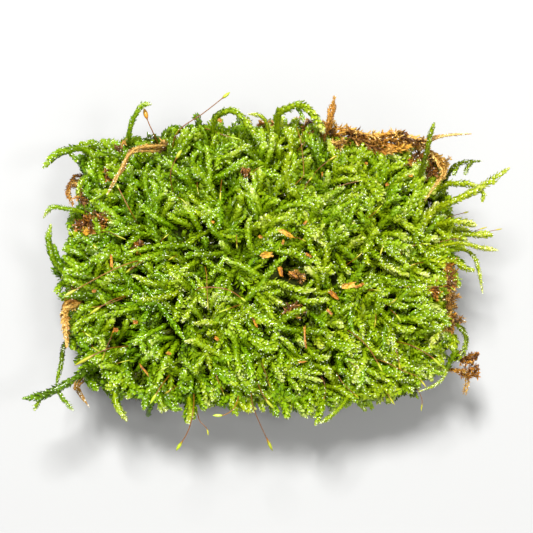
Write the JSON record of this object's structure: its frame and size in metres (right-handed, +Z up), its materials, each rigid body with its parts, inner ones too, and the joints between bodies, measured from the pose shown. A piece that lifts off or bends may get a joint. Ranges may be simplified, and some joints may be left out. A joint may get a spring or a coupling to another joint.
{
  "type": "moss clump",
  "caption": "Low rounded-rectangular clump of bright green feathery moss, cut flat underneath, with long arching shoots, dead orange strands and thin fruiting stalks.",
  "frame": {"origin": "middle of the bounding box on the ground, under the clump's flat cut underside", "axes": "+X to the right along the long side, +Y to the back, +Z up"},
  "size_m": [0.1104, 0.0817, 0.0297],
  "materials": {
    "living_moss": "bright lime-green leafy shoots, damp, with small wet glints",
    "dark_moss": "dark olive-green older shoots, damp",
    "dead_moss_orange": "dead orange-brown shoots, dry and shredded",
    "dead_moss_tan": "dead tan shoots, dry",
    "fruiting_stalk": "smooth red-brown stalks with pale green tips",
    "bark": "rough tan and orange slips of bark"
  },
  "bodies": {
    "root": {"moss_cushion": "living_moss", "shoot_back_left_arm": "living_moss", "shoot_left_hanging": "living_moss", "shoot_left_hook": "living_moss", "shoot_left_upright": "living_moss", "shoot_back_left_spike": "living_moss", "shoot_back_arch": "living_moss", "shoot_back_small_arch": "living_moss", "shoot_back_high_arch": "living_moss", "shoot_back_right_spike": "living_moss", "shoot_right_dark_arm": "dark_moss", "shoot_right_long_arm": "living_moss", "shoot_right_upper_arm": "living_moss", "shoot_right_arm_one": "living_moss", "shoot_right_arm_two": "living_moss", "shoot_right_arm_three": "living_moss", "shoot_right_drooping": "living_moss", "shoot_right_short": "living_moss", "shoot_right_front_bow": "living_moss", "shoot_right_front_loop": "living_moss", "shoot_front_tuft": "living_moss", "shoot_front_tuft_arm": "living_moss", "shoot_front_left_tip": "living_moss", "shoot_front_tip": "living_moss", "shoot_front_left_long": "living_moss", "shoot_front_left_thin": "dark_moss", "dead_shoot_back_left": "dead_moss_tan", "dead_spike_back": "dead_moss_orange", "dead_strand_right": "dead_moss_orange", "dead_curl_right": "dead_moss_orange", "dead_edge_right": "dead_moss_orange", "dead_clump_left": "dead_moss_tan", "dead_sprig_front_left": "dead_moss_tan", "dead_tuft_left": "dead_moss_tan", "dead_band_back_right": "dead_moss_orange", "dead_tuft_front_right": "dead_moss_orange", "stalk_back": "fruiting_stalk", "stalk_back_left": "fruiting_stalk", "stalk_front_left": "fruiting_stalk", "stalk_front": "fruiting_stalk", "stalk_front_loop": "fruiting_stalk", "stalk_left_long": "fruiting_stalk", "stalk_left_low": "fruiting_stalk", "stalk_left_middle": "fruiting_stalk", "stalk_front_slanting": "fruiting_stalk", "stalk_front_short": "fruiting_stalk", "stalk_right_front": "fruiting_stalk", "stalk_middle_right": "fruiting_stalk", "stalk_upper_left": "fruiting_stalk", "stalk_left_fine": "fruiting_stalk", "stalk_arc": "fruiting_stalk", "bark_tan": "bark", "bark_splinter": "bark", "bark_orange": "bark"}
  },
  "joints": []
}
